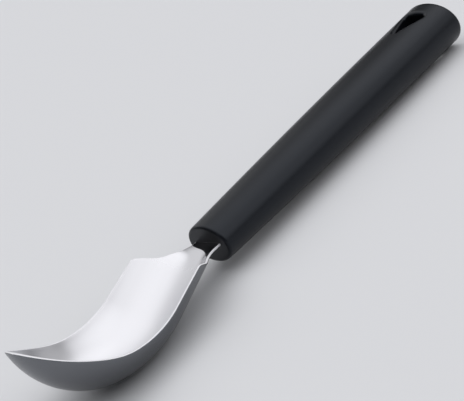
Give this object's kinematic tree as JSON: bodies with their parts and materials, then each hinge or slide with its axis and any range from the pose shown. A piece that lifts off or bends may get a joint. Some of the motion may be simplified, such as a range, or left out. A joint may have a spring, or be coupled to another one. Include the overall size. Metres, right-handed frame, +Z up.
{
  "type": "fruit scoop",
  "caption": "Kitchen hand scoop for fruit flesh: a deep, upcurled steel scoop with a sharp rim and squared shoulders, on an oval black plastic handle with a triangular hanging hole.",
  "frame": {"origin": "middle of the bounding box, on the level that the blade's belly and the handle's tail rest on", "axes": "+X towards the handle's tail, the blade towards -X; +Y across the blade; +Z up, out of the scoop's open side"},
  "size_m": [0.2014, 0.0354, 0.0299],
  "materials": {
    "steel": "satin brushed stainless steel",
    "grip": "satin moulded black plastic"
  },
  "bodies": {
    "root": {"blade": "steel", "handle": "grip"}
  },
  "joints": []
}
